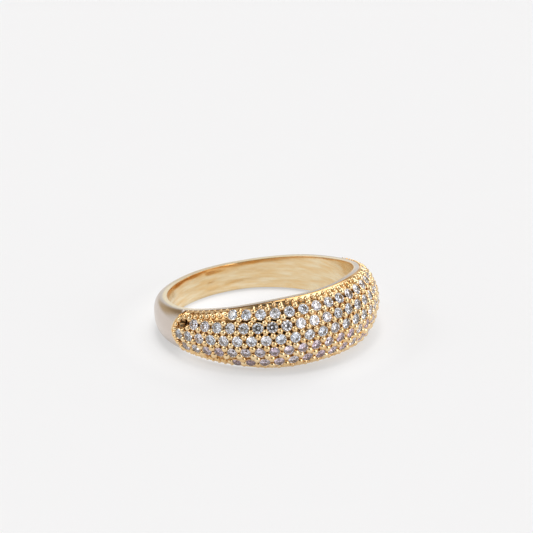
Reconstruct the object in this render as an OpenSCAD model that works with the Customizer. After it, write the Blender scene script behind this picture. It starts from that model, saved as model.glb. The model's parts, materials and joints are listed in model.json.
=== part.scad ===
// A domed ring, pave set: a shank that swells into a dome, and the field of small stones on it.
// The ring lies on its side as it would on a table, with the middle of the dome towards -Y.

/* [Finger] */
// Inside diameter of the ring
finger_d = 17.3; // [16:0.1:20]

/* [Band] */
// Width of the band in the middle of the dome
dome_w = 6.56; // [6.5:0.02:7]
// Wall thickness in the middle of the dome
dome_t = 2.26; // [2.2:0.02:2.6]
// Width of the band at the back of the finger
back_w = 2.56; // [2.4:0.02:2.8]
// Wall thickness at the back of the finger
back_t = 1.3; // [1.2:0.02:1.4]
// Radial width of the flat side face in the middle of the dome
dome_rim = 0.46; // [0.4:0.02:0.8]
// Radial width of the flat side face at the back of the finger
back_rim = 0.7; // [0.6:0.02:0.9]
// Roundness of the dome across the band: 2 is an ellipse, and less is more pointed
dome_power = 1.7; // [1.6:0.05:2]
// Roundness of the shank across the band: more than 2 is flatter with rounded edges
back_power = 2.8; // [2:0.1:3]

/* [Stones] */
// Diameter of a stone over its girdle
stone_d = 1.1; // [1:0.01:1.14]
// Height of a stone's crown over its girdle
stone_crown = 0.16; // [0.12:0.01:0.2]
// Depth of a stone's point under its girdle
stone_point = 0.45; // [0.4:0.01:0.5]
// Diameter of a stone's flat table
table_d = 0.6; // [0.5:0.01:0.7]
// Gap left round a stone in its seat
seat_gap = 0.03; // [0.02:0.005:0.05]
// Depth of the girdle under the metal beside it
stone_sink = 0.1; // [0.04:0.01:0.12]

/* [Beads] */
// Diameter of a bead of metal that holds the stones
bead_d = 0.54; // [0.44:0.02:0.56]
// Distance of a bead from the middle line of its row of stones
bead_off = 0.4; // [0.38:0.01:0.44]
// Diameter of a bead beside the ends of the outer rows and across the ends of the field
border_d = 0.5; // [0.4:0.02:0.52]
// Distance of the beads beside the ends of the outer rows from the edge of the crown
border_in = 0.36; // [0.32:0.01:0.4]
// Diameter of a bead of the fine line along the edge of the crown
edge_d = 0.46; // [0.36:0.02:0.46]
// Distance of the fine line of beads from the edge of the crown
edge_in = 0.09; // [0.08:0.01:0.14]
// Depth of a bead's centre under the metal that it stands on
bead_sink = 0.12; // [0.08:0.01:0.13]

/* [Hidden] */

bore_r = finger_d / 2;
stone_r = stone_d / 2;

// How the band changes from the dome to the back, in even steps of angle.
// angle from the dome, share of the dome's extra width, share of its extra wall, share of the back's rim,
// share of the shank's roundness
TAPER = [
    [0, 1, 1, 0, 0],
    [30, 0.965, 0.95, 0.2, 0],
    [60, 0.665, 0.62, 0.6, 0],
    [90, 0.33, 0.34, 1, 0.35],
    [120, 0.16, 0.08, 1, 1],
    [150, 0.02, 0, 1, 1],
    [180, 0, 0, 1, 1]
];
TAPER_STEP = 30;
WIDTH = 1;
WALL = 2;
RIM = 3;
ROUNDNESS = 4;

// The rows of stones from one edge to the other. Places are counted in pitches from the dome's middle,
// so the second and the fourth row sit half a stone over from their neighbours.
// height over the middle of the band, angle from stone to stone, last place
ROWS = [
    [2.36, 7.55, 7],
    [1.2, 7.2, 11.5],
    [0, 7.2, 12],
    [-1.2, 7.2, 11.5],
    [-2.36, 7.55, 7]
];
HEIGHT = 0;
PITCH = 1;
LAST = 2;
// The seat that has lost its stone, as its row and its place
EMPTY_SEAT = [1, -11.5];
// The beads along the edges stand at half the pitch of the outer rows, to the last place on either side.
// The larger ones begin past the end of the outer rows.
BORDER_PITCH = ROWS[0][PITCH] / 2;
BORDER_FIRST = 2 * ROWS[0][LAST] + 1;
BORDER_LAST = 23;
// The beads that close the field at either end: how many, how far apart, and the angle of the middle one
END_BEADS = 7;
END_STEP = 0.43;
END_ANGLE = 89.4;
// How far the end curves back from a straight line, in degrees for each square millimetre off the middle
END_CURVE = 1.7;

// A column of the table at any angle, on a smooth curve through its rows that is level at both ends
function taper_row(i) = let (n = len(TAPER) - 1) TAPER[i < 0 ? -i : i > n ? 2 * n - i : i];
function smooth(a, b, c, d, u) =
    b + u / 2 * (c - a + u * (2 * a - 5 * b + 4 * c - d + u * (3 * (b - c) + d - a)));
function taper(phi, column) =
    let (turn = abs(phi) > 180 ? 360 - abs(phi) : abs(phi))
    let (i = floor(turn / TAPER_STEP))
    let (near = [for (k = [i - 1 : i + 2]) taper_row(k)[column]])
    smooth(near[0], near[1], near[2], near[3], turn / TAPER_STEP - i);

function band_w(phi) = back_w + (dome_w - back_w) * taper(phi, WIDTH);
function band_t(phi) = back_t + (dome_t - back_t) * taper(phi, WALL);
function band_rim(phi) = dome_rim + (back_rim - dome_rim) * taper(phi, RIM);
function crown_power(phi) = dome_power + (back_power - dome_power) * taper(phi, ROUNDNESS);

// A point at an angle round the finger, where 0 is the middle of the dome, towards -Y
function at(phi, r, h) = [r * sin(phi), -r * cos(phi), h];

// The crown at an angle and a height, and the direction that it faces there
function crown_r(phi, h) =
    let (power = crown_power(phi), reach = 1 - pow(min(abs(h) / (band_w(phi) / 2), 1), power))
    bore_r + band_rim(phi) + (band_t(phi) - band_rim(phi)) * pow(reach, 1 / power);
function crown(phi, h) = at(phi, crown_r(phi, h), h);
function outward(phi, h) =
    let (around = crown(phi + 1, h) - crown(phi - 1, h))
    let (across = crown(phi, h + 0.05) - crown(phi, h - 0.05))
    cross(around, across) / norm(cross(around, across));

// Where the ring comes to rest on its side: the front of the rim under the dome and the back of the rim
// touch the table together. The lean is halved in on between two guesses.
function low_front(lean) = min([for (phi = [0 : 2 : 90])
    bore_r * cos(phi) * sin(lean) - band_w(phi) / 2 * cos(lean)]);
function low_back(lean) = min([for (phi = [90 : 2 : 180])
    (bore_r + band_rim(phi)) * cos(phi) * sin(lean) - band_w(phi) / 2 * cos(lean)]);
function settle(low, high, tries) =
    let (lean = (low + high) / 2)
    tries == 0 ? lean : low_front(lean) < low_back(lean)
        ? settle(lean, high, tries - 1)
        : settle(low, lean, tries - 1);
rest_lean = settle(0, 20, 20);
rest_lift = -low_front(rest_lean);

// How far the leaning ring reaches to the front, with the beads there, and to the back, so that it
// stands over the origin
SIDE_STEPS = [-1 : 0.02 : 1];
function reach_y(phi) = [for (s = SIDE_STEPS) let (p = crown(phi, s * band_w(phi) / 2))
    p.y * cos(rest_lean) + p.z * sin(rest_lean)];
rest_shift = (bead_d / 2 - bead_sink - min(reach_y(0)) - max(reach_y(180))) / 2;

module at_rest() {
    translate([0, rest_shift, rest_lift]) rotate([-rest_lean, 0, 0]) children();
}

// Stands its children on the crown, with their +Z straight out of the metal
module on_crown(phi, h) {
    n = outward(phi, h);
    translate(crown(phi, h)) rotate([0, acos(n.z), atan2(n.y, n.x)]) children();
}

// One round of the band's section: the crown from edge to edge, then back behind the wall of the bore
ROUND_STEPS = 72;
CROWN_STEPS = 14;
BEHIND = 0.4;
function section(phi) =
    let (half = band_w(phi) / 2, rim_r = bore_r + band_rim(phi), rise = band_t(phi) - band_rim(phi))
    concat(
        [for (k = [0 : CROWN_STEPS]) let (a = 180 * k / CROWN_STEPS, e = 2 / crown_power(phi))
            at(phi, rim_r + rise * pow(sin(a), e), half * sign(cos(a)) * pow(abs(cos(a)), e))],
        [at(phi, bore_r - BEHIND, -half), at(phi, bore_r - BEHIND, half)]
    );

module blank() {
    side = CROWN_STEPS + 3;
    points = [for (i = [0 : ROUND_STEPS - 1]) each section(360 * i / ROUND_STEPS)];
    function corner(i, k) = (i % ROUND_STEPS) * side + k % side;
    polyhedron(points, [for (i = [0 : ROUND_STEPS - 1], k = [0 : side - 1])
        each [
            [corner(i, k), corner(i + 1, k), corner(i, k + 1)],
            [corner(i + 1, k), corner(i + 1, k + 1), corner(i, k + 1)]
        ]]);
}

module bead(phi, h, d) {
    on_crown(phi, h) translate([0, 0, -bead_sink]) sphere(d = d, $fn = 16);
}

// Every gap between two neighbours of a row has a bead on each side of the row
module grain_beads() {
    for (row = ROWS, place = [0.5 - row[LAST] : row[LAST] - 0.5], side = [-1, 1])
        bead(place * row[PITCH], row[HEIGHT] + side * bead_off, bead_d);
}

// A fine line of beads follows each edge of the crown. Larger ones carry on from the outer rows
// and close the field at both ends.
module border_beads() {
    for (place = [-BORDER_LAST : BORDER_LAST], side = [-1, 1])
        let (phi = place * BORDER_PITCH)
        bead(phi, side * (band_w(phi) / 2 - edge_in), edge_d);
    for (place = [BORDER_FIRST : BORDER_LAST], turn = [-1, 1], side = [-1, 1])
        let (phi = turn * place * BORDER_PITCH)
        bead(phi, side * (band_w(phi) / 2 - border_in), border_d);
    for (i = [0 : END_BEADS - 1], side = [-1, 1])
        let (h = (i - (END_BEADS - 1) / 2) * END_STEP)
        bead(side * (END_ANGLE - END_CURVE * h * h), h, border_d);
}

// A seat is drilled from above: straight down to the girdle, then a cone for the stone's lower half
module seat() {
    above = 1;
    seat_r = stone_r + seat_gap;
    floor_z = -stone_sink - stone_point - seat_gap;
    rotate_extrude($fn = 32)
        polygon([[0, floor_z], [seat_gap, floor_z], [seat_r, -stone_sink], [seat_r, above], [0, above]]);
}

// A round brilliant, simplified: a table, eight crown facets, a thin girdle and eight facets to a point
FACETS = 8;
GIRDLE_H = 0.04;
module stone() {
    function ring(r, z) =
        [for (i = [0 : FACETS - 1]) [r * cos(360 * i / FACETS), r * sin(360 * i / FACETS), z]];
    points = concat(
        ring(table_d / 2, stone_crown), ring(stone_r, GIRDLE_H), ring(stone_r, 0), [[0, 0, -stone_point]]
    );
    culet = 3 * FACETS;
    polyhedron(points, concat(
        [[for (i = [FACETS - 1 : -1 : 0]) i]],
        [for (r = [0, 1], i = [0 : FACETS - 1]) let (j = (i + 1) % FACETS)
            [r * FACETS + i, r * FACETS + j, (r + 1) * FACETS + j, (r + 1) * FACETS + i]],
        [for (i = [0 : FACETS - 1]) [2 * FACETS + i, 2 * FACETS + (i + 1) % FACETS, culet]]
    ));
}

module band() {
    color("goldenrod") at_rest() difference() {
        union() {
            blank();
            grain_beads();
            border_beads();
        }
        for (row = ROWS, place = [-row[LAST] : row[LAST]])
            on_crown(place * row[PITCH], row[HEIGHT]) seat();
        cylinder(r = bore_r, h = 2 * dome_w, center = true, $fn = 120);
    }
}

module pave_stones() {
    color("gainsboro") at_rest()
        for (i = [0 : len(ROWS) - 1], place = [-ROWS[i][LAST] : ROWS[i][LAST]])
            if ([i, place] != EMPTY_SEAT)
                on_crown(place * ROWS[i][PITCH], ROWS[i][HEIGHT]) translate([0, 0, -stone_sink]) stone();
}

band();
pave_stones();
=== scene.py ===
# %% [markdown]
# # A domed pave ring
# The ring is one casting in yellow gold plate: a shank that swells into a dome, and on the dome five rows
# of small clear stones, held by beads of the same metal. It lies on its side on a pale table. The packed
# model is loaded first and stays the frame for everything: the finger hole and the lean at which the ring
# rests are read from it.

# %% Load the frame
import json
import math
import random

import bmesh
import bpy
from mathutils import Matrix, Vector, noise


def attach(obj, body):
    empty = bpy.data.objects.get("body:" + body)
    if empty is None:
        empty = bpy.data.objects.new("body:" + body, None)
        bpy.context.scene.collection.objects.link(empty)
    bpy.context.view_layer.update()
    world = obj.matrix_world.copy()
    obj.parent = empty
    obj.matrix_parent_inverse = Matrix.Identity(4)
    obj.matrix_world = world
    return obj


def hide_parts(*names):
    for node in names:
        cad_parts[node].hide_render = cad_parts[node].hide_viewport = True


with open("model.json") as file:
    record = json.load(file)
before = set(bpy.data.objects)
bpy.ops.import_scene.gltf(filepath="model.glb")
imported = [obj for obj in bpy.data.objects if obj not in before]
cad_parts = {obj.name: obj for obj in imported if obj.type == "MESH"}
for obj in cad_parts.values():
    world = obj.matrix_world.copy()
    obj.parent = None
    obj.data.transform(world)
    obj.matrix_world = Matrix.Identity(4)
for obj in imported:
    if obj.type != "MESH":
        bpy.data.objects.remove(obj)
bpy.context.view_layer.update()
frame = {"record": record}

# %% [markdown]
# ## Where the ring lies
# A ring is easiest to model standing straight, with its finger hole along Z and in millimetres. The bore in
# the record says where that straight ring lies in the frame: its middle, and the axis, which leans a few
# degrees because the dome's wide side lifts the front. One matrix holds both, and each piece goes through
# it once, at its end.

# %% The ring's own space, in millimetres
MM = 0.001
bore = next(m for m in frame["record"]["mounts"] if m["kind"] == "bore")
BORE_R = bore["dims"]["r_mm"]
BORE_MIDDLE = Vector(bore["pos_m"])
LEAN = math.atan2(bore["axis"][1], bore["axis"][2])
AT_REST = Matrix.Translation(BORE_MIDDLE) @ Matrix.Rotation(-LEAN, 4, "X") @ Matrix.Scale(MM, 4)
print(f"bore radius {BORE_R} mm, lean {math.degrees(LEAN):.2f} degrees")

# %% [markdown]
# ## The sizes of the band and its pattern
# The band's width, wall and flat side face change on the way from the dome to the back of the finger. A
# short table holds how far each has come, and a smooth curve through its values gives the rest. The stones
# stand in rows round the dome, and a row is given by its height, the angle from stone to stone and its last
# place. Names and sizes are those of the part's source, but here the back of the shank is a little rounder
# and wider, and the stones are smaller, to leave room for a thin collar round each.

# %% Sizes of the band, the stones and the beads
# width, wall and flat side face, and the power of the crown's curve
DOME_W, DOME_T, DOME_RIM, DOME_POWER = 6.56, 2.26, 0.46, 1.7
BACK_W, BACK_T, BACK_RIM, BACK_POWER = 2.6, 1.32, 0.5, 2.3

# every 30 degrees from the dome to the back: share of the dome's extra width and of its extra wall, of the
# back's side face, and of the back's power
TAPER_STEP = 30
TAPER = {
    "width": (1, 0.965, 0.665, 0.33, 0.16, 0.02, 0),
    "wall": (1, 0.95, 0.62, 0.34, 0.08, 0, 0),
    "rim": (0, 0.2, 0.6, 1, 1, 1, 1),
    "power": (0, 0, 0, 0.35, 1, 1, 1),
}

# height over the middle of the band, degrees from stone to stone, last place
ROWS = ((2.36, 7.55, 7), (1.2, 7.2, 11.5), (0, 7.2, 12), (-1.2, 7.2, 11.5), (-2.36, 7.55, 7))
EMPTY_SEAT = (1, -11.5)
STONE_D, STONE_SINK = 1.02, 0.1

# the beads' diameters, and how far they stand from the middle of a row or in from the edge
BEAD_D, BEAD_OFF = 0.54, 0.4
BORDER_D, BORDER_IN = 0.5, 0.36
EDGE_D = 0.46

# the border counts in half steps of the outer rows, and the beads at its end stand on a curve
BORDER_PITCH = ROWS[0][1] / 2
BORDER_FIRST, BORDER_LAST = 15, 23
END_BEADS, END_STEP, END_ANGLE, END_CURVE = 7, 0.43, 89.4, 1.7
print(f"band {BACK_W} mm wide at the back, {DOME_W} at the dome")

# %% The band's measures at any angle


def from_middle(turn):
    """Degrees round the finger from the middle of the dome, the same on both sides."""
    return abs((turn + 180) % 360 - 180)


def taper(turn, column):
    """A share from the table at an angle in degrees from the dome's middle."""
    shares = TAPER[column]
    last = len(shares) - 1
    steps = from_middle(turn) / TAPER_STEP
    i = min(int(steps), last - 1)
    u = steps - i
    a, b, c, d = (shares[last - abs(last - abs(k))] for k in range(i - 1, i + 3))
    return b + u / 2 * (c - a + u * (2 * a - 5 * b + 4 * c - d + u * (3 * (b - c) + d - a)))


def band_w(turn):
    return BACK_W + (DOME_W - BACK_W) * taper(turn, "width")


def band_t(turn):
    return BACK_T + (DOME_T - BACK_T) * taper(turn, "wall")


def band_rim(turn):
    return DOME_RIM + (BACK_RIM - DOME_RIM) * taper(turn, "rim")


def crown_power(turn):
    """2 gives the crown an ellipse's section, less a pointed one, more a flat one with rounded edges."""
    return DOME_POWER + (BACK_POWER - DOME_POWER) * taper(turn, "power")


print("band's width every 30 degrees:", [round(band_w(TAPER_STEP * i), 2) for i in range(7)])

# %% The crown, and how things stand on it


def at(turn, r, h):
    """A point at an angle round the finger, where 0 is the middle of the dome, towards -Y."""
    a = math.radians(turn)
    return Vector((r * math.sin(a), -r * math.cos(a), h))


def crown(turn, h):
    power, rim = crown_power(turn), band_rim(turn)
    reach = 1 - min(abs(h) / (band_w(turn) / 2), 1) ** power
    return at(turn, BORE_R + rim + (band_t(turn) - rim) * reach ** (1 / power), h)


def on_crown(turn, h):
    """The matrix that stands a small thing on the crown, with its Z straight out of the metal.

    A short step round the band and one across it give the slope there."""
    around = crown(turn + 1, h) - crown(turn - 1, h)
    across = crown(turn, h + 0.05) - crown(turn, h - 0.05)
    out = around.cross(across).normalized()
    turned = Matrix.Rotation(math.atan2(out.y, out.x), 4, "Z") @ Matrix.Rotation(math.acos(out.z), 4, "Y")
    return Matrix.Translation(crown(turn, h)) @ turned


def places(last):
    """Every place of a row, from one end to the other."""
    return [i - last for i in range(int(2 * last) + 1)]


def at_seats(seats):
    return [on_crown(p * ROWS[row][1], ROWS[row][0]) for row, p in seats]


SEATS = [(row, p) for row, (_, _, last) in enumerate(ROWS) for p in places(last)]
print(f"{len(SEATS)} seats, one of them empty")

# %% [markdown]
# ## Small helpers
# A mesh under work is a bmesh. `into_object` turns it into an object, and `combine` lets one object add to
# or cut another with Blender's Boolean modifier, applied at once. Its Manifold solver is fast and exact for
# closed shapes, but the shapes inside one cutter may not overlap each other, so beads that do are added in
# separate batches. `mark` gives a mesh one number at every vertex, which its material can read later.

# %% Make objects, combine them and mark them


def into_object(bm, name):
    mesh = bpy.data.meshes.new(name)
    bm.to_mesh(mesh)
    bm.free()
    obj = bpy.data.objects.new(name, mesh)
    bpy.context.scene.collection.objects.link(obj)
    return obj


def combine(obj, tool, operation):
    modifier = obj.modifiers.new("combine", "BOOLEAN")
    modifier.object = tool
    modifier.operation = operation
    modifier.solver = "MANIFOLD"
    evaluated = obj.evaluated_get(bpy.context.evaluated_depsgraph_get())
    mesh = bpy.data.meshes.new_from_object(evaluated)
    obj.modifiers.clear()
    old = obj.data
    obj.data = mesh
    bpy.data.meshes.remove(old)
    bpy.data.meshes.remove(tool.data)
    print(f"{operation.lower()}: {obj.name} has {len(mesh.vertices)} vertices")


def scatter(template, matrices, name):
    """One object that holds a copy of a small bmesh at each matrix. The bmesh is used up."""
    mesh = bpy.data.meshes.new(name)
    template.to_mesh(mesh)
    bm = bmesh.new()
    for matrix in matrices:
        first = len(bm.verts)
        bm.from_mesh(mesh)
        bm.verts.ensure_lookup_table()
        bmesh.ops.transform(bm, matrix=matrix, verts=bm.verts[first:])
    bpy.data.meshes.remove(mesh)
    template.free()
    return into_object(bm, name)


def mark(obj, name, values):
    obj.data.attributes.new(name, "FLOAT", "POINT").data.foreach_set("value", values)
    print(f"{name}: {sum(value > 0 for value in values)} of {len(values)} vertices marked")


def rise(value, start, over):
    """0 up to a start, 1 from `over` beyond it, and a straight slope between the two."""
    return min(max((value - start) / over, 0), 1)


def fall(value, end, over):
    """1 until `over` before an end, 0 from the end on, and a straight slope between the two."""
    return min(max((end - value) / over, 0), 1)


# %% [markdown]
# ## The band's blank
# Before any stone is set, the casting is a smooth ring with a D-shaped section. One section is drawn as a
# few points and spun round the finger. At that stage its radius and height count as shares, and a second
# pass moves every point to the width and wall that the band has at that angle. The same pass eases the
# bore's two ends outwards, for comfort, and sinks the field a little, because a setter cuts the metal away
# between the stones. The four long edges are then bevelled, because polishing never leaves a sharp one.

# %% Points of the section
CROWN_STEPS, SIDE_STEPS, BORE_STEPS = 32, 3, 24


def section_points():
    """(layer, side): layer 0 is the bore, 1 the end of the side face, 1 to 2 the crown by its angle."""
    points = [(1 + math.sin(math.pi * k / CROWN_STEPS), math.cos(math.pi * k / CROWN_STEPS))
              for k in range(CROWN_STEPS + 1)]
    points += [(1 - k / SIDE_STEPS, -1) for k in range(1, SIDE_STEPS)]
    points += [(0, -math.cos(math.pi * k / BORE_STEPS)) for k in range(BORE_STEPS + 1)]
    points += [(k / SIDE_STEPS, 1) for k in range(1, SIDE_STEPS)]
    return points


print(f"section: {len(section_points())} points")

# %% How wear shapes the bore
COMFORT, COMFORT_REACH = 0.06, 0.55
WORN_TURN = -150
STREAK, STREAK_TURN, STREAKS_PER_MM = 0.035, 16, 2.4
WAVE, WAVE_TURN, WAVES_PER_MM = 0.015, 7, 0.8


def worn_side(turn):
    """1 on the side of the back where a finger and another ring wore the bore, 0 across from it."""
    return (0.5 + 0.5 * math.cos(math.radians(turn - WORN_TURN))) ** 2


def ease_reach(turn):
    """How far in from its ends the bore is eased, in millimetres."""
    return COMFORT_REACH * (0.3 + 0.7 * worn_side(turn))


def bore_relief(turn, h):
    """How far the bore lies outside its radius: eased at both ends, streaked where worn, a little wavy."""
    from_end = max(0, 1 - (band_w(turn) / 2 - abs(h)) / ease_reach(turn))
    streaks = noise.noise(Vector((turn / STREAK_TURN, h * STREAKS_PER_MM, 0))) * (0.2 + worn_side(turn))
    waves = noise.noise(Vector((turn / WAVE_TURN, h * WAVES_PER_MM, 9)))
    return COMFORT * ease_reach(turn) / COMFORT_REACH * from_end ** 2 + STREAK * streaks + WAVE * waves


print(f"bore eased by {COMFORT} mm over up to {COMFORT_REACH} mm")

# %% How deep the field is cut
FIELD_SINK, FIELD_BEYOND, FIELD_FADE = 0.16, 0.6, 1.5
LEDGE, OUTER_ROWS_END, OUTER_ROWS_H = 0.12, 50, 1.4


def in_field(turn, h, beyond=FIELD_BEYOND):
    """1 where the stones are set, 0 on the plain metal, and a soft step between the two."""
    end = END_ANGLE - END_CURVE * h * h
    return fall(from_middle(turn), end + beyond, FIELD_FADE)


def cut_away(turn, h):
    """How deep the metal lies between the stones. Past the ends of the outer rows it is left higher."""
    ledge = rise(from_middle(turn), OUTER_ROWS_END, 6) * rise(abs(h), OUTER_ROWS_H, 0.3)
    return FIELD_SINK * in_field(turn, h) * (1 - LEDGE * ledge)


print(f"field cut {cut_away(0, 0):.2f} mm deep, {cut_away(70, 1.8):.2f} mm past the outer rows")

# %% Spin the section and give it its taper
ROUND_STEPS = 288
SPUN_R = 10
CREST = 1.2

# the spin drifts by a hair more than this in its last steps, so on 15 degrees left of the dome's middle the
# side faces' outer edges aren't found, and stay unsoftened
NEARLY = 1e-4

bm = bmesh.new()
outline = [bm.verts.new((0, -SPUN_R - layer, side)) for layer, side in section_points()]
edges = [bm.edges.new((a, b)) for a, b in zip(outline, outline[1:] + outline[:1])]
bmesh.ops.spin(bm, geom=outline + edges, cent=(0, 0, 0), axis=(0, 0, 1), angle=math.tau,
               steps=ROUND_STEPS, use_merge=True)
corners = set()
for v in bm.verts:
    turn = math.degrees(math.atan2(v.co.x, -v.co.y))
    layer = math.hypot(v.co.x, v.co.y) - SPUN_R
    side = v.co.z
    if abs(abs(side) - 1) < NEARLY and (abs(layer) < NEARLY or abs(layer - 1) < NEARLY):
        corners.add(v)
    half = band_w(turn) / 2
    if layer < 1 + 1e-6:
        height = side * half
        r = BORE_R + layer * band_rim(turn) + (1 - layer) * bore_relief(turn, height)
        v.co = at(turn, r, height)
    else:
        height = math.copysign(abs(side) ** (2 / crown_power(turn)), side) * half
        v.co = crown(turn, height)
        if layer > CREST:
            v.co -= on_crown(turn, height).col[2].xyz * cut_away(turn, height)
bmesh.ops.recalc_face_normals(bm, faces=bm.faces)
print(f"blank: {len(bm.verts)} vertices")

# %% Soften the long edges
SOFT_EDGE = 0.1
SAME_R = 0.1

# corners stand in four rings, and an edge inside one ring keeps its radius
long_edges = [e for e in bm.edges if e.verts[0] in corners and e.verts[1] in corners
              and abs(math.hypot(*e.verts[0].co.xy) - math.hypot(*e.verts[1].co.xy)) < SAME_R]
bmesh.ops.bevel(bm, geom=long_edges, offset=SOFT_EDGE, offset_type="OFFSET", segments=4, profile=0.5,
                affect="EDGES", material=-1, clamp_overlap=True)
print(f"{len(long_edges)} edges softened")
band = into_object(bm, "band_metal")

# %% [markdown]
# ## The seats
# A thin collar of metal stands round every stone, so each place gets a short round post first. Then a setter
# drills the seat: a cone for the stone's lower half, a short wall at its widest, and a bright cut round the
# mouth, which leaves the collar thin and shiny. Both tools are profiles spun round their own axis and copied
# to every place, and each set goes into the band at once. The seat that lost its stone is drilled deeper.

# %% Add the collars
SEAT_SIDES = 20
COLLAR_R, COLLAR_FOOT, COLLAR_TOP, COLLAR_ROUND = 0.555, -0.6, -0.06, 0.03


def turned(profile):
    """A solid made by spinning a profile of (radius, height) points that starts and ends on the axis."""
    bm = bmesh.new()
    line = [bm.verts.new((r, 0, z)) for r, z in profile]
    edges = [bm.edges.new(pair) for pair in zip(line, line[1:])]
    bmesh.ops.spin(bm, geom=line + edges, cent=(0, 0, 0), axis=(0, 0, 1), angle=math.tau,
                   steps=SEAT_SIDES, use_merge=True)
    bmesh.ops.remove_doubles(bm, verts=bm.verts, dist=1e-5)
    bmesh.ops.recalc_face_normals(bm, faces=bm.faces)
    return bm


post = turned(((0, COLLAR_FOOT), (COLLAR_R, COLLAR_FOOT), (COLLAR_R, COLLAR_TOP - COLLAR_ROUND),
               (COLLAR_R - COLLAR_ROUND, COLLAR_TOP), (0, COLLAR_TOP)))
combine(band, scatter(post, at_seats(SEATS), "collars"), "UNION")

# %% Drill the seats
SEAT_R = STONE_D / 2 - 0.02
SEAT_TIP, WALL_FOOT, WALL_TOP = -0.66, -0.14, -0.09
MOUTH_R = SEAT_R + 0.04
CLEAR = 0.4
HOLLOW_R, HOLLOW_TOP, HOLLOW_FLOOR, HOLLOW_TIP = 0.18, -0.1, -1.2, -1.3

drill = turned(((0, SEAT_TIP), (SEAT_R, WALL_FOOT), (SEAT_R, WALL_TOP), (MOUTH_R, COLLAR_TOP + 0.01),
                (MOUTH_R, CLEAR), (0, CLEAR)))
combine(band, scatter(drill, at_seats(SEATS), "seats"), "DIFFERENCE")
hollow = turned(((0, HOLLOW_TIP), (HOLLOW_R, HOLLOW_FLOOR), (HOLLOW_R, HOLLOW_TOP), (0, HOLLOW_TOP)))
combine(band, scatter(hollow, at_seats([EMPTY_SEAT]), "empty_seat"), "DIFFERENCE")

# %% [markdown]
# ## The beads
# The metal between two stones is pushed up with a burnisher into beads that lean over the stones' edges and
# hold them. Two stand in every gap of a row, and those of the lower rows are larger. On both edges of the
# dome a short rib lies across every gap of the outer row, and a small knob sits at most of its stones. Past
# the ends of those rows, a fine line of beads follows the edge, and larger ones beside it carry on and close
# the field. A bead is a small icosphere with its lower part in the metal, and a rib is a stretched one.

# %% Where the beads stand
BEAD_TOP = 0.2
INSIDE_EDGE = 0.4


def beads(name, diameter, spots, stretch=1.0, top=BEAD_TOP):
    """Adds one batch of beads that reach the same height. Stretched ones lie across the band."""
    bm = bmesh.new()
    bmesh.ops.create_icosphere(bm, subdivisions=2, radius=diameter / 2)
    bmesh.ops.scale(bm, vec=(stretch, 1, 1), verts=bm.verts)
    bmesh.ops.translate(bm, vec=(0, 0, top - diameter / 2), verts=bm.verts)
    combine(band, scatter(bm, [on_crown(*spot) for spot in spots], name), "UNION")


def by_the_edge(first, last, inwards, step=1):
    """Spots in step with half the outer rows' pitch, from one place to another on all four edges."""
    turns = {turn * p * BORDER_PITCH for p in range(first, last + 1, step) for turn in (-1, 1)}
    return [(turn, side * (band_w(turn) / 2 - inwards)) for turn in sorted(turns) for side in (-1, 1)]


def in_the_grain(side, rows):
    """Spots beside every gap of the rows, on one side of it, but never over the edge."""
    gaps = [((p + 0.5) * pitch, height + side * BEAD_OFF)
            for height, pitch, last in rows for p in places(last)[:-1]]
    return [(turn, math.copysign(min(abs(h), band_w(turn) / 2 - INSIDE_EDGE), h)) for turn, h in gaps]


print(f"{2 * sum(len(places(last)) - 1 for _, _, last in ROWS)} beads in the gaps of the rows")

# %% Raise the beads
UPPER_ROWS, LOWER_ROWS = ROWS[:3], ROWS[3:]

# the part's source has the named diameters, and here most batches depart a little from them, as in the photo
for side in (-1, 1):
    beads("grain_beads", BEAD_D + 0.08, in_the_grain(side, UPPER_ROWS))
    beads("lower_beads", BEAD_D + 0.2, in_the_grain(side, LOWER_ROWS))
gaps = by_the_edge(1, BORDER_FIRST - 2, inwards=0.28, step=2)
beads("edge_ribs", EDGE_D + 0.06, gaps, stretch=1.7, top=0.09)
beads("edge_knobs", EDGE_D, by_the_edge(0, 10, inwards=0.16, step=2), stretch=1.2, top=0.09)
beads("edge_beads", EDGE_D - 0.1, by_the_edge(BORDER_FIRST, BORDER_LAST, inwards=0.06), top=0.1)
beside = by_the_edge(BORDER_FIRST, BORDER_LAST, inwards=BORDER_IN + 0.06)
beads("border_beads", BORDER_D + 0.1, beside, top=0.15)
for parity in (0, 1):
    heights = [(i - (END_BEADS - 1) / 2) * END_STEP for i in range(parity, END_BEADS, 2)]
    beads("end_beads", BORDER_D, [
        (side * (END_ANGLE - END_CURVE * h * h), h) for h in heights for side in (-1, 1)])

# %% [markdown]
# ## The stones
# A round brilliant is cut, not moulded: a lapidary grinds one flat after another into a round blank. The
# same is done here. A small cylinder is cut by one plane for each facet, and every cut is closed with a
# face, so the kites and stars come out by themselves. Each stone is then turned and tilted by a few degrees,
# because no two sit quite alike, and that makes them sparkle one by one.

# %% Grind one flat
STONE_R = STONE_D / 2 - 0.01
TABLE_R = 0.58 * STONE_R
HALF_GIRDLE = 0.015
CROWN_SLOPE, STAR_SLOPE, PAVILION_SLOPE = 34, 22, 41
UPPER_GIRDLE_SLOPE, LOWER_GIRDLE_SLOPE = CROWN_SLOPE + 6, PAVILION_SLOPE + 1.2


def cut(bm, turn, slope, r, z):
    """Grinds one flat through a point of the profile. Its slope is its angle to the girdle's plane."""
    a, b = math.radians(turn), math.radians(slope)
    side = 1 if z > 0 else -1
    normal = Vector((math.cos(a) * math.sin(b), math.sin(a) * math.sin(b), side * math.cos(b)))
    point = Vector((r * math.cos(a), r * math.sin(a), z))
    result = bmesh.ops.bisect_plane(bm, geom=bm.verts[:] + bm.edges[:] + bm.faces[:], dist=1e-6,
                                    plane_co=point, plane_no=normal, clear_outer=True)
    rim = [g for g in result["geom_cut"] if isinstance(g, bmesh.types.BMEdge)]
    if rim:
        bmesh.ops.contextual_create(bm, geom=rim)


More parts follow.
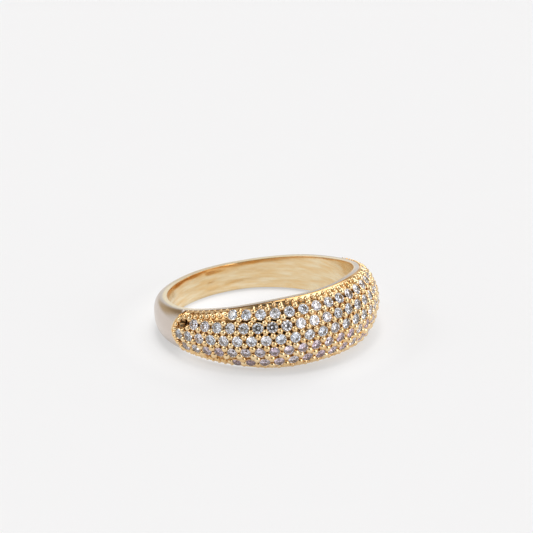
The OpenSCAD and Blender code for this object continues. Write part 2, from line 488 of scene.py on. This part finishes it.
# %% Cut one brilliant
bm = bmesh.new()
bmesh.ops.create_cone(bm, cap_ends=True, segments=32, radius1=STONE_R, radius2=STONE_R, depth=3 * STONE_R)
crown_h = HALF_GIRDLE + (STONE_R - TABLE_R) * math.tan(math.radians(CROWN_SLOPE))
cut(bm, 0, 0, 0, crown_h)
for i in range(8):
    cut(bm, 45 * i, CROWN_SLOPE, STONE_R, HALF_GIRDLE)
    cut(bm, 45 * i, PAVILION_SLOPE, STONE_R, -HALF_GIRDLE)
for i in range(8):
    cut(bm, 45 * (i + 0.5), STAR_SLOPE, TABLE_R * math.cos(math.pi / 8), crown_h)
for i in range(16):
    cut(bm, 22.5 * (i + 0.5), UPPER_GIRDLE_SLOPE, STONE_R, HALF_GIRDLE)
    cut(bm, 22.5 * (i + 0.5), LOWER_GIRDLE_SLOPE, STONE_R, -HALF_GIRDLE)
bmesh.ops.recalc_face_normals(bm, faces=bm.faces)
lowest = min(v.co.z for v in bm.verts)
print(f"brilliant: {len(bm.faces)} facets, table {crown_h:.2f} mm over the girdle, culet {lowest:.2f} mm")

# %% Set the stones
random.seed(11)
TILT_LIMIT = 5
filled = [seat for seat in SEATS if seat != EMPTY_SEAT]
spots = []
for seat in at_seats(filled):
    tilt = Matrix.Rotation(math.radians(random.uniform(-TILT_LIMIT, TILT_LIMIT)), 4, "X")
    turn = Matrix.Rotation(random.uniform(0, math.tau), 4, "Z")
    spots.append(seat @ Matrix.Translation((0, 0, -STONE_SINK)) @ turn @ tilt)
stones = scatter(bm, spots, "pave_brilliants")
print(f"{len(spots)} stones, {len(stones.data.polygons)} facets")

# %% [markdown]
# ## The stones' fire
# A cut stone splits light, so one looks a little blue and the next a little pink. The photo shows the pink
# ones mostly in the lower rows, where the pink is also a painted reflection of the gold they mirror. Each
# stone gets one random number for it, the same at all its vertices.

# %% Give each stone its own fire
# the lower rows' pinker range is partly fire and partly a painted reflection of the gold
FIRE, LOWER_FIRE_AND_GOLD_REFLECTION = (0, 0.6), (0.5, 1)
per_stone = len(stones.data.vertices) // len(filled)
fires = []
for row, _ in filled:
    fires += [random.uniform(*(LOWER_FIRE_AND_GOLD_REFLECTION if ROWS[row] in LOWER_ROWS else FIRE))] * per_stone
mark(stones, "fire", fires)

# %% [markdown]
# ## The plating's three painted measures
# The plate is one gold, and three measures paint light and shade into its colour. Painted reflection makes it
# pale on the outside, where it mirrors the bright room once, and deeper where gold mirrors gold: yellow in
# the bore, orange on the bore's eased upper end and full in the field. Round the back it is warmer and paler,
# partly a painted highlight and partly nearer the plate's own gold, for views from behind. Far down between
# two beads painted shade makes it dark, most of all in the upper rows on the left and in the empty seat, and
# painted shade darkens the field's upper edge there. Away from the dome, a painted highlight makes the upper
# side face pale. A pattern in space couldn't follow all this, so every vertex of the metal carries three
# numbers, worked out from its place before the ring is laid down.

# %% Measure how deep a gold to paint for the plate's reflections
EDGE_FADE = 0.15
DEEP_BEYOND = 2.8
WARM_TURN, WARM_REACH, WARM_FADE = 165, 60, 25


def whereabouts(co):
    """A point's angle, how far it stands over the bore's radius, and how far it is in from the edge."""
    turn = math.degrees(math.atan2(co.x, -co.y))
    return turn, math.hypot(co.x, co.y) - BORE_R, band_w(turn) / 2 - abs(co.z)


def field_share(co):
    turn, over_bore, _ = whereabouts(co)
    return in_field(turn, co.z, beyond=DEEP_BEYOND) * rise(over_bore - band_rim(turn), 0, EDGE_FADE)


def painted_reflection_share(co):
    """The material has four golds, so the bore is at a third, its eased upper end at two, the field at 1."""
    turn, over_bore, from_edge = whereabouts(co)
    bored = 1 - rise(over_bore, COMFORT, EDGE_FADE)
    # painted reflection: the bore's eased upper end is drawn orange, gold mirrored in gold, most where it is
    # worn
    eased = (1 - rise(from_edge, 0, ease_reach(turn))) * (co.z > 0) * (0.35 + 0.65 * worn_side(turn))
    # round the back the plate is drawn warmer and paler: partly a painted highlight, partly nearer the
    # plate's own gold
    warmer = fall(from_middle(turn - WARM_TURN), WARM_REACH, WARM_FADE)
    # painted reflection: the outside stays pale, and the bore and the field are drawn a deeper gold
    return max(warmer / 4, bored * (1 + eased) / 3, field_share(co))


mark(band, "gold_by_painted_reflection", [painted_reflection_share(v.co) for v in band.data.vertices])

# %% Measure how much shade to paint in the gaps
GAP_TOP, GAP_DEPTH = -0.07, 0.09
MOUTH_LIFT = 0.03
DARKEST_TURN, SHADE_TURN = -35, 40
# strength and width of the painted shade on the field's upper edge
PAINTED_EDGE_SHADE, EDGE_SHADE_WIDTH = 0.35, 0.3
out_of_empty_seat = at_seats([EMPTY_SEAT])[0].inverted()


def gap_shade(co):
    """Painted shade: 1 for the darkest gap. Below the middle, on the right and near an edge more light gets
    in.
    """
    field = field_share(co)
    if field == 0:
        return 0
    turn, _, from_edge = whereabouts(co)
    depth = (on_crown(turn, co.z).inverted() @ co).z
    middle = 0.8 + 0.2 * fall(abs(turn - DARKEST_TURN), SHADE_TURN, SHADE_TURN)
    lower, right_hand = fall(co.z, -0.6, 1.2), rise(turn, 0, SHADE_TURN)
    inside = min(max(from_edge, 0.3), 1)
    darkness = field * middle * (1 - 0.5 * lower) * (1 - 0.5 * right_hand) * inside
    # painted shade: the empty seat is drawn as dark as the darkest gap
    in_seat = out_of_empty_seat @ co
    if math.hypot(in_seat.x, in_seat.y) < COLLAR_R:
        depth, darkness = in_seat.z + MOUTH_LIFT, 1
    # painted shade along the field's upper edge, left of the dome's middle
    edge_shade = PAINTED_EDGE_SHADE * field * (co.z > 0) * (from_edge < EDGE_SHADE_WIDTH) * fall(turn, 5, 10)
    return max(darkness * fall(depth, GAP_TOP, GAP_DEPTH), edge_shade)


mark(band, "gap", [gap_shade(v.co) for v in band.data.vertices])

# %% Measure where a highlight is painted on the upper side face
HIGHLIGHT_BAND = 0.12
BESIDE_DOME, VERY_BACK = 60, 145


def rim_highlight_share(co):
    """Painted highlight: 1 on the upper side face from beside the dome on, and less at the very back."""
    turn, over_bore, from_edge = whereabouts(co)
    side_face = (from_edge < HIGHLIGHT_BAND) * (co.z > 0) * (1 - rise(over_bore - band_rim(turn), -0.1, EDGE_FADE))
    away = rise(abs(turn), BESIDE_DOME, 30) - 0.7 * rise(abs(turn), VERY_BACK, 20)
    return side_face * rise(over_bore, 0, HIGHLIGHT_BAND) * away


mark(band, "painted_rim_highlight", [rim_highlight_share(v.co) for v in band.data.vertices])

# %% [markdown]
# ## Place the pieces and hand them to the frame
# Both meshes go through the rest matrix once and stay at the origin. The metal is smooth where it curves
# and keeps a hard line where two surfaces meet at an angle. The stones stay flat, facet by facet.

# %% Place, shade and ride
SHARP = math.radians(38)
for obj in (band, stones):
    obj.data.transform(AT_REST)
    obj.data.update()
band.data.shade_smooth()
band.data.set_sharp_from_angle(angle=SHARP)
stones.data.shade_flat()
for obj, node, slot in ((band, "band", "gold_plate"), (stones, "pave_stones", "clear_stone")):
    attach(obj, "root")
    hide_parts(node)
    print(obj.name, "stands for", node, "with", len(obj.data.polygons), "faces")

# %% [markdown]
# ## Materials
# Colours are picked as sRGB hex values, as on a screen, and one function turns them into the linear numbers
# that Blender works in. `add` puts a node into a tree with its settings and links, and everything else is
# built with it.

# %% Colour and node helpers


def linear(hex_colour):
    channels = [int(hex_colour[i:i + 2], 16) / 255 for i in (1, 3, 5)]
    return [c / 12.92 if c <= 0.04045 else ((c + 0.055) / 1.055) ** 2.4 for c in channels] + [1]


def add(tree, kind, inputs=None, colours=(), **settings):
    """Adds a node. Inputs are given by name or number: a value sets the socket, and a socket is linked.

    A colour ramp's colours are spaced evenly."""
    node = tree.nodes.new(kind)
    for key, value in settings.items():
        setattr(node, key, value)
    for key, value in (inputs or {}).items():
        if isinstance(value, bpy.types.NodeSocket):
            tree.links.new(value, node.inputs[key])
        else:
            node.inputs[key].default_value = value
    last = len(colours) - 1
    for i, colour in enumerate(colours):
        stops = node.color_ramp.elements
        stop = stops[0] if i == 0 else stops[-1] if i == last else stops.new(i / last)
        stop.color = linear(colour)
    return node


def new_material(name, obj):
    material = bpy.data.materials.new(name)
    material.use_nodes = True
    material.node_tree.nodes.clear()
    obj.data.materials.clear()
    obj.data.materials.append(material)
    print(obj.name, "is made of", name)
    return material.node_tree


def finish_material(tree, inputs):
    shader = add(tree, "ShaderNodeBsdfPrincipled", inputs)
    add(tree, "ShaderNodeOutputMaterial", {"Surface": shader.outputs["BSDF"]})
    print(f"its finish takes {len(tree.nodes)} nodes")


# %% [markdown]
# ## Polished gold plate
# The casting is polished brass with a thin coat of gold. To the eye it is a mirror, a little blurred by
# wear, whose colour comes from the metal itself. The three measures pick that colour, and paint into it
# reflections, shade in the gaps and a highlight on the upper side face. Fine streaks of a darker, more orange
# gold run round the band, drawn a few tenths of a millimetre wide so that they show, and a slow haze varies
# the blur, as fingers leave it.

# %% Plate the band
HAZE_SPOT, STREAK_LENGTH, STREAK_SQUEEZE = 2.5, 2, 6

# outside, bore, the bore's eased upper end, field, each a painted reflection: between the streaks, and in
# them
GOLDS = ("#D4C8BE", "#EBDAB7", "#ECAC54", "#F8DFB4")
STREAKED_GOLDS = ("#D4C8BE", "#E3C18B", "#DD9A40", "#EAC084")
# painted shade for the gaps, its darkest tone, and a painted highlight for the upper side face
PAINTED_GAP_SHADE, DEEPEST_PAINTED_SHADE, PAINTED_HIGHLIGHT_GOLD = "#845014", "#2E1C0C", "#FFEDC8"

tree = new_material("polished_gold_plate", band)
place = add(tree, "ShaderNodeTexCoord").outputs["Object"]
deep, gap, painted_rim_highlight = (add(tree, "ShaderNodeAttribute", attribute_name=name).outputs["Fac"]
                     for name in ("gold_by_painted_reflection", "gap", "painted_rim_highlight"))
squeezed = add(tree, "ShaderNodeVectorMath", {0: place, 1: (1, 1, STREAK_SQUEEZE)}, operation="MULTIPLY")
streaks = add(tree, "ShaderNodeTexNoise", {
    "Vector": squeezed.outputs["Vector"], "Scale": 1 / (STREAK_LENGTH * MM), "Detail": 4})
streaks = add(tree, "ShaderNodeMapRange", {
    "Value": streaks.outputs["Fac"], "From Min": 0.35, "From Max": 0.7}).outputs["Result"]
# painted shade: the darkest gaps go on towards near black
deepest_shade = add(tree, "ShaderNodeMapRange", {"Value": gap, "From Min": 0.8}).outputs["Result"]

# painted reflection: the gold measure picks the paler or the deeper gold
# in a mix of colours, sockets 6 and 7 are the two colours and output 2 is the result
plate = add(tree, "ShaderNodeMix", {
    "Factor": streaks,
    6: add(tree, "ShaderNodeValToRGB", {"Fac": deep}, colours=GOLDS).outputs["Color"],
    7: add(tree, "ShaderNodeValToRGB", {"Fac": deep}, colours=STREAKED_GOLDS).outputs["Color"],
}, data_type="RGBA").outputs[2]
# painted shade: the gaps are mixed towards brown
brown = add(tree, "ShaderNodeMix", {
    "Factor": deepest_shade, 6: linear(PAINTED_GAP_SHADE), 7: linear(DEEPEST_PAINTED_SHADE)}, data_type="RGBA").outputs[2]
plate = add(tree, "ShaderNodeMix", {"Factor": gap, 6: plate, 7: brown}, data_type="RGBA").outputs[2]
# painted highlight: the upper side face is mixed towards pale cream
plate = add(tree, "ShaderNodeMix", {
    "Factor": painted_rim_highlight, 6: plate, 7: linear(PAINTED_HIGHLIGHT_GOLD)}, data_type="RGBA").outputs[2]

haze = add(tree, "ShaderNodeTexNoise", {"Vector": place, "Scale": 1 / (HAZE_SPOT * MM), "Detail": 3})
haze = add(tree, "ShaderNodeMapRange", {"Value": haze.outputs["Fac"], "To Min": 0.04, "To Max": 0.12})
worn = add(tree, "ShaderNodeMapRange", {"Value": deep, "To Min": 0.18, "To Max": 0.07})
roughness = add(tree, "ShaderNodeMath", {0: haze.outputs["Result"], 1: worn.outputs["Result"]},
                operation="ADD").outputs["Value"]
finish_material(tree, {"Base Color": plate, "Metallic": 1, "Roughness": roughness})

# %% [markdown]
# ## Cubic zirconia
# The stones are cubic zirconia, grown clear, cut and polished. It bends light much more than glass does, and
# its flats are perfect, so each facet shows either a lamp or the dark, and the eye sees sparks. A render
# doesn't split light into colours, so a faint tint, blue to pink by the stone's own number, stands for fire.

# %% Clear the stones
ZIRCONIA_IOR = 2.16
# painted tints: blue to pink for fire, and pink in the lower rows also for the gold they mirror
TINTS = ("#E4ECFA", "#F0F0F8", "#D4B4CC")
tree = new_material("cubic_zirconia", stones)
fire = add(tree, "ShaderNodeAttribute", attribute_name="fire").outputs["Fac"]
tint = add(tree, "ShaderNodeValToRGB", {"Fac": fire}, colours=TINTS).outputs["Color"]
finish_material(tree, {"Base Color": tint, "Roughness": 0, "IOR": ZIRCONIA_IOR, "Transmission Weight": 1})

# %% [markdown]
# ## The table
# The photo's floor is almost white, with pale shadows, as if the sheet under the ring were lit from below
# as well as from above. So it glows, and its glow is painted light and shadow: painted light most in a wide
# ring inside the bore, which would lie in shade otherwise, less in the middle of the hole, least under the
# band, where that leaves a painted contact shadow, and a little more again outside, above all on both sides.
# Just outside the ring on the left, where it touches the sheet, a painted contact shadow makes it darker.
# These are fixed places on the sheet, so they stay where they are from any side.

# %% Table
AZIMUTH, ELEVATION = -37.793, 24.009
TO_CAMERA = Vector((math.sin(math.radians(AZIMUTH)), -math.cos(math.radians(AZIMUTH)), 0))
TO_RIGHT = Vector((-TO_CAMERA.y, TO_CAMERA.x, 0))
TABLE_HALF = 3

bm = bmesh.new()
bmesh.ops.create_grid(bm, x_segments=1, y_segments=1, size=TABLE_HALF)
table = into_object(bm, "table")
tree = new_material("sheet_with_painted_light_and_shadow", table)
place = add(tree, "ShaderNodeTexCoord").outputs["Object"]
off_centre = add(tree, "ShaderNodeVectorMath", {0: place}, operation="LENGTH").outputs["Value"]
across = add(tree, "ShaderNodeVectorMath", {0: place, 1: TO_RIGHT}, operation="DOT_PRODUCT").outputs["Value"]
aside = add(tree, "ShaderNodeMath", {0: across}, operation="ABSOLUTE").outputs["Value"]


def paint_glow_step(total, *steps):
    """Adds painted light or painted shade to the sheet's glow: one smooth step, or the product of two.

    A step is a distance, the millimetres where it starts and ends, and its values before and after."""
    parts = [add(tree, "ShaderNodeMapRange", {
        "Value": distance, "From Min": start * MM, "From Max": end * MM, "To Min": before, "To Max": after},
        interpolation_type="SMOOTHSTEP").outputs["Result"] for distance, start, end, before, after in steps]
    factor = parts[1] if len(parts) > 1 else 1
    return add(tree, "ShaderNodeMath", {0: parts[0], 1: factor, 2: total},
               operation="MULTIPLY_ADD").outputs["Value"]


# painted light: the sheet glows most in a wide ring inside the bore
glowing = paint_glow_step(0, (off_centre, 8.3, 9.2, 0.69, 0.46))
# less of that painted light in the middle of the hole
glowing = paint_glow_step(glowing, (off_centre, 5.5, 8.3, -0.1, 0))
# painted light further out, which leaves a painted contact shadow under the band
glowing = paint_glow_step(glowing, (off_centre, 10.15, 11.1, 0, 0.075))
# more painted light on both sides, fading further out
glowing = paint_glow_step(glowing, (aside, 3, 8, 0, 0.08), (off_centre, 11, 15, 1, 0))
# painted contact shadow on the left, close to the ring
glowing = paint_glow_step(glowing, (across, -7, -9, 0, -0.12), (off_centre, 9.9, 10.5, 1, 0))
finish_material(tree, {"Base Color": linear("#A0A0A2"), "Roughness": 0.9, "Specular IOR Level": 0,
                       "Emission Color": linear("#FFFFFF"), "Emission Strength": glowing})

# %% [markdown]
# ## The light
# Round the ring is a soft sky: dim overhead, warmer further down, and bright towards the horizon. Polished
# metal and cut stones only show what they mirror, so the sky also holds four round lamps for their flashes,
# and three cards that take light away: a brown one behind the ring on the left, a nearly black one on the
# camera's side, and a small dark brown one low behind the ring.

# %% Patches of sky
world = bpy.data.worlds.new("studio")
bpy.context.scene.world = world
world.use_nodes = True
world.node_tree.nodes.clear()
tree = world.node_tree
ray = add(tree, "ShaderNodeTexCoord").outputs["Generated"]


def patch(toward_right, toward_camera, upward, reach, soft):
    """1 in a round patch of the sky and 0 outside: where it is, its half angle and how wide its edge is."""
    place = (TO_RIGHT * toward_right + TO_CAMERA * toward_camera + Vector((0, 0, upward))).normalized()
    near = add(tree, "ShaderNodeVectorMath", {0: ray, 1: place}, operation="DOT_PRODUCT").outputs["Value"]
    edge, full = (math.cos(math.radians(max(angle, 0))) for angle in (reach + soft, reach - soft))
    return add(tree, "ShaderNodeMapRange", {"Value": near, "From Min": edge, "From Max": full},
               interpolation_type="SMOOTHSTEP").outputs["Result"]


def light_up(total, mask, colour):
    """Adds a colour to the sky where the mask is 1."""
    return add(tree, "ShaderNodeVectorMath", {0: mask, 1: colour, 2: total},
               operation="MULTIPLY_ADD").outputs["Vector"]


# %% Light
OVERHEAD = (0.22, 0.22, 0.22)

# height where a band of sky starts to show and where it is full, and the light that it adds
BANDS = ((0.75, 0.55, (0.12, 0.06, -0.03)), (0.4, 0.28, (0.46, 0.54, 0.64)))

# towards the right, the camera and up, half angle, soft edge, and the share of the light that a card leaves
CARDS = ((-0.6, -0.76, 0.24, 18, 12, (0.71, 0.55, 0.335)),
         (0.08, 0.96, 0.27, 22, 7, (0.1, 0.1, 0.1)),
         (0.3, -0.95, -0.05, 12, 3, (0.4, 0.32, 0.22)))

# the same, and a lamp's strength
LAMPS = ((-0.66, 0.05, 0.75, 17, 5, 3.4), (0.3, -0.5, 0.8, 25, 6, 2.4),
         (0.75, 0.5, 0.45, 20, 5, 2.5), (-0.1, 0.55, 0.83, 12, 6, 0.9))

sky = OVERHEAD
up = add(tree, "ShaderNodeSeparateXYZ", {"Vector": ray}).outputs["Z"]
for start, full, colour in BANDS:
    mask = add(tree, "ShaderNodeMapRange", {"Value": up, "From Min": start, "From Max": full},
               interpolation_type="SMOOTHSTEP").outputs["Result"]
    sky = light_up(sky, mask, colour)
for *where, left in CARDS:
    shade = light_up((1, 1, 1), patch(*where), [share - 1 for share in left])
    sky = add(tree, "ShaderNodeVectorMath", {0: sky, 1: shade}, operation="MULTIPLY").outputs["Vector"]
for *where, strength in LAMPS:
    sky = light_up(sky, patch(*where), [strength] * 3)
surround = add(tree, "ShaderNodeBackground", {"Color": sky, "Strength": 1})
add(tree, "ShaderNodeOutputWorld", {"Surface": surround.outputs["Background"]})
print(f"sky: {len(BANDS)} bands, {len(CARDS)} cards, {len(LAMPS)} lamps, {len(tree.nodes)} nodes")

# %% [markdown]
# ## The camera
# The photo is taken from far away with a long lens, from the left of the dome and a little above. The
# camera stands half a metre off and looks at the middle of the finger hole. Its roll and its small shift
# put the ring where it is in the frame.

# %% Camera
ROLL = 0.867
DISTANCE = 0.5
PICTURE = 533
PIXELS_PER_MM = 10.829
AIM_X, AIM_Y = 262.363, 303.013
SENSOR = 36

az, el, roll = (math.radians(angle) for angle in (AZIMUTH, ELEVATION, ROLL))
back = Vector((math.sin(az) * math.cos(el), -math.cos(az) * math.cos(el), math.sin(el)))
right = Vector((math.cos(az), math.sin(az), 0))
up = back.cross(right)
right, up = right * math.cos(roll) - up * math.sin(roll), right * math.sin(roll) + up * math.cos(roll)
lens = bpy.data.cameras.new("camera")
lens.sensor_width = SENSOR
lens.lens = PIXELS_PER_MM * DISTANCE / MM / PICTURE * SENSOR
lens.shift_x = (PICTURE / 2 - AIM_X) / PICTURE
lens.shift_y = (AIM_Y - PICTURE / 2) / PICTURE
lens.clip_start = 0.01
camera = bpy.data.objects.new("camera", lens)
camera.matrix_world = Matrix.Translation(BORE_MIDDLE + back * DISTANCE) @ Matrix(
    (right, up, back)).transposed().to_4x4()
bpy.context.scene.collection.objects.link(camera)
bpy.context.scene.camera = camera
print(f"lens {lens.lens:.1f} mm, shift {lens.shift_x:.4f} {lens.shift_y:.4f}")

# %% [markdown]
# ## How the picture is developed
# The Standard view shows colours as they were picked, as a plain product photo does. Light goes in and out
# of a stone through many facets, so it may be bent and mirrored more often than usual before it is dropped.

# %% View and bounces
scene = bpy.context.scene
scene.view_settings.view_transform = "Standard"
scene.cycles.max_bounces = 16
scene.cycles.glossy_bounces = 12
scene.cycles.transmission_bounces = 12
scene.cycles.use_denoising = True
print("view:", scene.view_settings.view_transform, "bounces:", scene.cycles.max_bounces)
